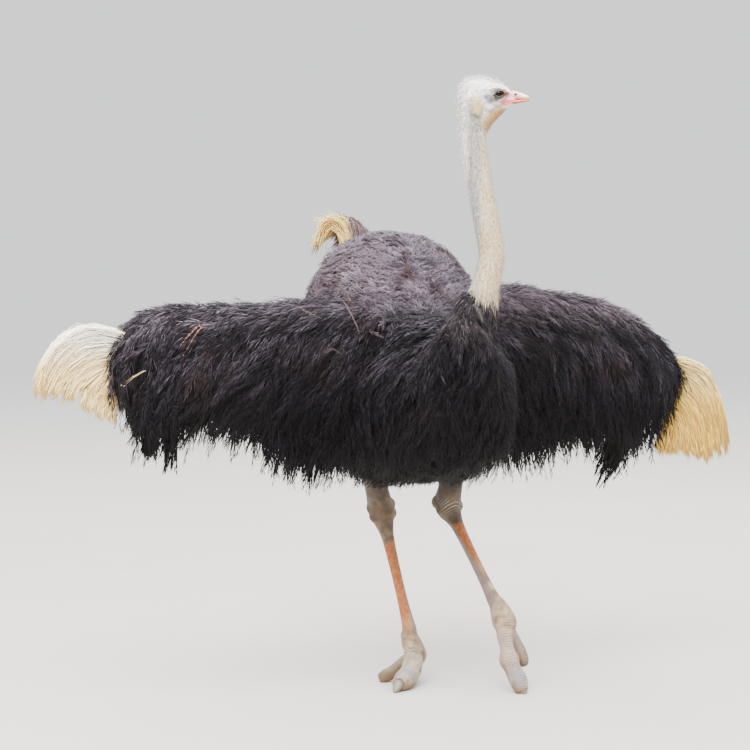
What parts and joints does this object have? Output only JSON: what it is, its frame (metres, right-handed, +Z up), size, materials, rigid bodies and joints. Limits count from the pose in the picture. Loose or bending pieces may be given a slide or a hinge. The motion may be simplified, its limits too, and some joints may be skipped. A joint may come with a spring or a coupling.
{
  "type": "ostrich figure",
  "caption": "Life-size standing male ostrich with spread wings, black body plumage, white wing plumes, long downy neck and bare legs.",
  "frame": {"origin": "on the floor, under the middle of the bird's bounding box", "axes": "+Z up, the bird walks towards -Y, its left wing points to +X and its right wing to -X"},
  "size_m": [2.5298, 1.3452, 1.974],
  "materials": {
    "plumage_body": "matte",
    "plumage_black": "matte",
    "plumage_brown": "matte",
    "plumes_white": "matte",
    "plumes_cream": "matte",
    "down": "matte",
    "leg_skin": "matte",
    "bill": "satin",
    "claw": "satin",
    "eye": "gloss"
  },
  "bodies": {
    "root": {"back": "plumage_brown", "belly": "plumage_body", "bill_lower": "bill", "bill_upper": "bill", "breast": "plumage_body", "breast_fringe": "plumage_black", "claw_left": "claw", "claw_right": "claw", "eye_left": "eye", "eye_right": "eye", "foot_left": "leg_skin", "foot_right": "leg_skin", "head": "down", "hock_left": "leg_skin", "hock_right": "leg_skin", "neck_base": "plumage_body", "neck_lower": "down", "neck_middle": "down", "neck_upper": "down", "rump": "plumage_brown", "shin_left": "leg_skin", "shin_right": "leg_skin", "tail_plume_left": "plumes_cream", "tail_plume_middle": "plumes_cream", "tail_plume_right": "plumes_cream", "tail_stump": "plumage_brown", "tarsus_left": "leg_skin", "tarsus_right": "leg_skin", "toe_inner_left": "leg_skin", "toe_inner_right": "leg_skin", "toe_outer_left": "leg_skin", "toe_outer_right": "leg_skin", "wing_left_forearm": "plumage_black", "wing_left_forearm_fringe": "plumage_black", "wing_left_hand": "plumage_black", "wing_left_hand_fringe": "plumage_black", "wing_left_plume_1": "plumes_white", "wing_left_plume_2": "plumes_white", "wing_left_plume_3": "plumes_white", "wing_left_shoulder": "plumage_black", "wing_left_shoulder_fringe": "plumage_black", "wing_left_streamer_1": "plumage_black", "wing_left_streamer_2": "plumage_black", "wing_right_forearm": "plumage_black", "wing_right_forearm_fringe": "plumage_black", "wing_right_hand": "plumage_black", "wing_right_hand_fringe": "plumage_black", "wing_right_plume_1": "plumes_white", "wing_right_plume_2": "plumes_white", "wing_right_plume_3": "plumes_white", "wing_right_shoulder": "plumage_black", "wing_right_shoulder_fringe": "plumage_black", "wing_right_streamer_1": "plumage_black", "wing_right_streamer_2": "plumage_black"}
  },
  "joints": []
}
